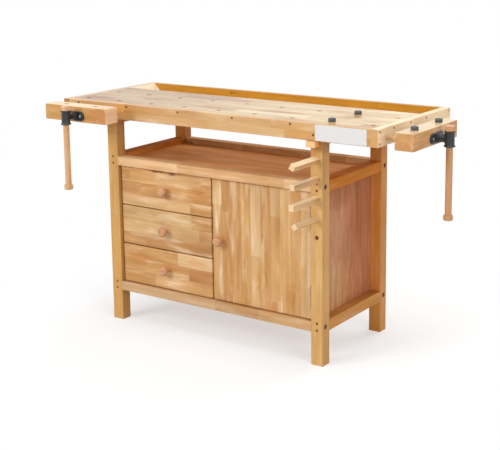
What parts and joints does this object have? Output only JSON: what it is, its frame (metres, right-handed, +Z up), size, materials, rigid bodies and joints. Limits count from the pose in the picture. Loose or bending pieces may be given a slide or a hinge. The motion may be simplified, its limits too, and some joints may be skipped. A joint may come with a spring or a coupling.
{
  "type": "woodworking bench",
  "caption": "Joiner's bench with a front vise, an end vise, dog holes, a tool tray, storage pegs, an open shelf and a cabinet with drawers and a door.",
  "frame": {"origin": "bottom centre of the box around the whole bench, on the floor", "axes": "+X along the worktop towards the end vise, +Y to the back, where the tool tray is, +Z up"},
  "size_m": [1.58, 0.733, 0.872],
  "materials": {
    "worktop_wood": "clear oiled, pale staves",
    "tray_wood": "clear oiled, golden",
    "plywood": "clear lacquered, reddish",
    "cabinet_wood": "clear lacquered staves",
    "drawer_wood": "clear lacquered",
    "frame_wood": "clear lacquered",
    "turned_wood": "clear lacquered",
    "jaw_wood": "clear lacquered",
    "dog_plastic": "black, satin",
    "black_casting": "black, painted, satin",
    "dark_fasteners": "black oxide",
    "hinge_steel": "dark bronze"
  },
  "bodies": {
    "bench": {"back_panel": "plywood", "back_rails": "frame_wood", "cabinet_divider": "cabinet_wood", "cabinet_floor": "plywood", "drawer_runners": "drawer_wood", "end_cap_left": "worktop_wood", "end_cap_right": "worktop_wood", "frame_bolts": "dark_fasteners", "frame_screws": "dark_fasteners", "front_apron": "worktop_wood", "front_rail_lower": "frame_wood", "front_rail_upper": "frame_wood", "hinge_leg_leaves": "hinge_steel", "leg_back_left": "frame_wood", "leg_back_right": "frame_wood", "leg_front_left": "frame_wood", "leg_front_right": "frame_wood", "shelf_panel": "plywood", "side_panels": "plywood", "side_rails_lower": "frame_wood", "side_rails_upper": "frame_wood", "top_bearers": "frame_wood", "tray_back_rail": "tray_wood", "tray_floor": "plywood", "tray_inner_rail": "worktop_wood", "tray_ramps": "tray_wood", "vise_guides": "frame_wood", "vise_nuts": "black_casting", "worktop_screws": "dark_fasteners", "worktop_slab": "worktop_wood"},
    "door": {"door_panel": "cabinet_wood", "door_knob": "turned_wood", "hinge_door_leaves": "hinge_steel"},
    "drawer_1": {"drawer_1_front": "cabinet_wood", "drawer_1_box": "drawer_wood", "drawer_1_knob": "turned_wood"},
    "drawer_2": {"drawer_2_front": "cabinet_wood", "drawer_2_box": "drawer_wood", "drawer_2_knob": "turned_wood"},
    "drawer_3": {"drawer_3_front": "cabinet_wood", "drawer_3_box": "drawer_wood", "drawer_3_knob": "turned_wood"},
    "front_jaw": {"front_vise_jaw": "jaw_wood", "front_vise_rods": "turned_wood", "front_vise_flange": "black_casting"},
    "front_screw": {"front_vise_screw": "black_casting"},
    "front_handle": {"front_vise_handle": "turned_wood"},
    "end_jaw": {"end_vise_jaw": "jaw_wood", "end_vise_rods": "turned_wood", "end_vise_flange": "black_casting"},
    "end_screw": {"end_vise_screw": "black_casting"},
    "end_handle": {"end_vise_handle": "turned_wood"},
    "dog_jaw_back": {"dog_jaw_back": "dog_plastic"},
    "dog_jaw_front": {"dog_jaw_front": "dog_plastic"},
    "dog_top_back": {"dog_top_back": "dog_plastic"},
    "dog_top_front": {"dog_top_front": "dog_plastic"},
    "peg_1": {"peg_1": "turned_wood"},
    "peg_2": {"peg_2": "turned_wood"},
    "peg_3": {"peg_3": "turned_wood"},
    "peg_4": {"peg_4": "turned_wood"}
  },
  "joints": [
    {"name": "door_hinge", "type": "hinge", "parent": "bench", "child": "door", "pos_m": [0.318, -0.1405, 0.3855], "axis": [0, 0, 1], "range_deg": [0, 90]},
    {"name": "drawer_1_slide", "type": "slide", "parent": "bench", "child": "drawer_1", "axis": [0, -1, 0], "range_m": [0, 0.28]},
    {"name": "drawer_2_slide", "type": "slide", "parent": "bench", "child": "drawer_2", "axis": [0, -1, 0], "range_m": [0, 0.28]},
    {"name": "drawer_3_slide", "type": "slide", "parent": "bench", "child": "drawer_3", "axis": [0, -1, 0], "range_m": [0, 0.28]},
    {"name": "front_jaw_slide", "type": "slide", "parent": "bench", "child": "front_jaw", "axis": [0, -1, 0], "range_m": [-0.06, 0.07]},
    {"name": "front_screw_turn", "type": "hinge", "parent": "front_jaw", "child": "front_screw", "pos_m": [-0.6145, -0.1715, 0.824], "axis": [0, -1, 0], "range_deg": [-4320, 5040]},
    {"name": "front_handle_slide", "type": "slide", "parent": "front_screw", "child": "front_handle", "axis": [0, 0, 1], "range_m": [0, 0.227]},
    {"name": "end_jaw_slide", "type": "slide", "parent": "bench", "child": "end_jaw", "axis": [1, 0, 0], "range_m": [-0.065, 0.07]},
    {"name": "end_screw_turn", "type": "hinge", "parent": "end_jaw", "child": "end_screw", "pos_m": [0.59, -0.0215, 0.824], "axis": [1, 0, 0], "range_deg": [-4680, 5040]},
    {"name": "end_handle_slide", "type": "slide", "parent": "end_screw", "child": "end_handle", "axis": [0, 0, 1], "range_m": [0, 0.227]},
    {"name": "dog_jaw_back_lift", "type": "slide", "parent": "end_jaw", "child": "dog_jaw_back", "axis": [0, 0, 1], "range_m": [0, 0.03]},
    {"name": "dog_jaw_front_lift", "type": "slide", "parent": "end_jaw", "child": "dog_jaw_front", "axis": [0, 0, 1], "range_m": [0, 0.03]},
    {"name": "dog_top_back_lift", "type": "slide", "parent": "bench", "child": "dog_top_back", "axis": [0, 0, 1], "range_m": [0, 0.03]},
    {"name": "dog_top_front_lift", "type": "slide", "parent": "bench", "child": "dog_top_front", "axis": [0, 0, 1], "range_m": [0, 0.03]},
    {"name": "peg_1_pull", "type": "slide", "parent": "bench", "child": "peg_1", "axis": [0, -1, 0], "range_m": [0, 0.04]},
    {"name": "peg_2_pull", "type": "slide", "parent": "bench", "child": "peg_2", "axis": [0, -1, 0], "range_m": [0, 0.04]},
    {"name": "peg_3_pull", "type": "slide", "parent": "bench", "child": "peg_3", "axis": [0, -1, 0], "range_m": [0, 0.04]},
    {"name": "peg_4_pull", "type": "slide", "parent": "bench", "child": "peg_4", "axis": [0, -1, 0], "range_m": [0, 0.04]}
  ],
  "couplings": [
    {"joint": "front_jaw_slide", "follows": "front_screw_turn", "m_per_rad": 0.00079577},
    {"joint": "end_jaw_slide", "follows": "end_screw_turn", "m_per_rad": 0.00079577}
  ]
}
